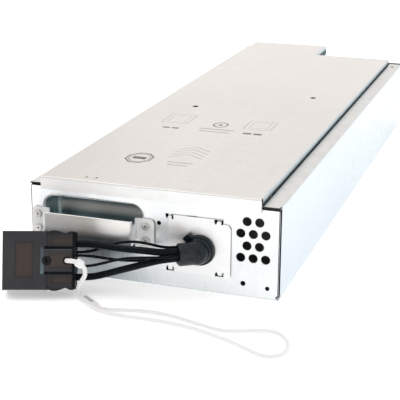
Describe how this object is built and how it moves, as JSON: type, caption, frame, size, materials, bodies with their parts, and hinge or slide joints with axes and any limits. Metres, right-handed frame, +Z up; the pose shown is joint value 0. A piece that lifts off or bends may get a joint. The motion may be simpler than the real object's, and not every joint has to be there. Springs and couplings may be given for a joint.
{
  "type": "ups battery cartridge",
  "caption": "Slide-in battery cartridge for a rack power supply: folded steel tray and stepped cover over sealed blocks, with a pull handle, a cable gland and short leads to a connector.",
  "frame": {"origin": "under the middle of the cartridge's box (tray, cover, handle and gland, without the free leads), on the underside of the tray", "axes": "+X to the right seen from the handle end, -Y out of the front panel along the direction the cartridge is pulled, +Z up"},
  "size_m": [0.2454, 0.7382, 0.0825],
  "materials": {
    "tray_steel": "bright galvanised sheet, fine brushed grain",
    "cover_steel": "galvanised sheet, fine satin grain",
    "bright_steel": "bright galvanised sheet, smooth",
    "rivet_alloy": "plain aluminium alloy",
    "gland_plastic": "black moulded nylon, satin",
    "seal_rubber": "black rubber",
    "lead_black": "black cable jacket, satin",
    "lead_red": "red cable jacket, satin",
    "housing_plastic": "charcoal moulded plastic, fine texture",
    "contact_metal": "silver-plated copper, satin",
    "spring_steel": "stainless spring strip",
    "pin_brass": "plated brass",
    "cord_white": "white braided cord",
    "sleeve_white": "white moulded sleeve",
    "block_plastic": "dark grey ABS case, fine texture",
    "holder_plastic": "black moulded plastic",
    "fuse_ceramic": "white ceramic tube",
    "bead_epoxy": "black epoxy",
    "liner_film": "dark insulating film",
    "foam_dark": "dark closed-cell foam",
    "spacer_plastic": "dark foamed plastic"
  },
  "bodies": {
    "root": {"aux_pins": "pin_brass", "battery_01": "block_plastic", "battery_02": "block_plastic", "battery_03": "block_plastic", "battery_04": "block_plastic", "battery_05": "block_plastic", "battery_06": "block_plastic", "battery_07": "block_plastic", "battery_08": "block_plastic", "battery_09": "block_plastic", "battery_10": "block_plastic", "cable_gland": "gland_plastic", "centre_spacer": "spacer_plastic", "connector_housing": "housing_plastic", "connector_seal": "seal_rubber", "contact_neg": "contact_metal", "contact_pos": "contact_metal", "contact_springs": "spring_steel", "cover": "cover_steel", "foam_pad_left": "foam_dark", "foam_pad_right": "foam_dark", "fuse_holder": "holder_plastic", "gland_nut": "gland_plastic", "gland_plate": "bright_steel", "gland_washer": "seal_rubber", "handle": "bright_steel", "handle_rivets": "rivet_alloy", "jumper_01": "lead_black", "jumper_02": "lead_black", "jumper_03": "lead_black", "jumper_04": "lead_black", "jumper_05": "lead_black", "jumper_06": "lead_black", "jumper_07": "lead_black", "jumper_08": "lead_black", "lanyard_knot": "cord_white", "lanyard_loop": "cord_white", "lanyard_sleeve": "sleeve_white", "lanyard_stem": "cord_white", "lanyard_stop": "cord_white", "liner": "liner_film", "midlead_a": "lead_red", "midlead_b": "lead_red", "pack_lead_neg": "lead_black", "pack_lead_pos": "lead_red", "power_cable_neg": "lead_black", "power_cable_pos": "lead_black", "rear_spacer_left": "foam_dark", "rear_spacer_right": "foam_dark", "sense_wire_a": "lead_black", "sense_wire_b": "lead_black", "sense_wire_c": "lead_black", "string_fuse": "fuse_ceramic", "tap_lead": "lead_black", "thermistor": "bead_epoxy", "thermistor_lead": "lead_black", "tray": "tray_steel"}
  },
  "joints": []
}
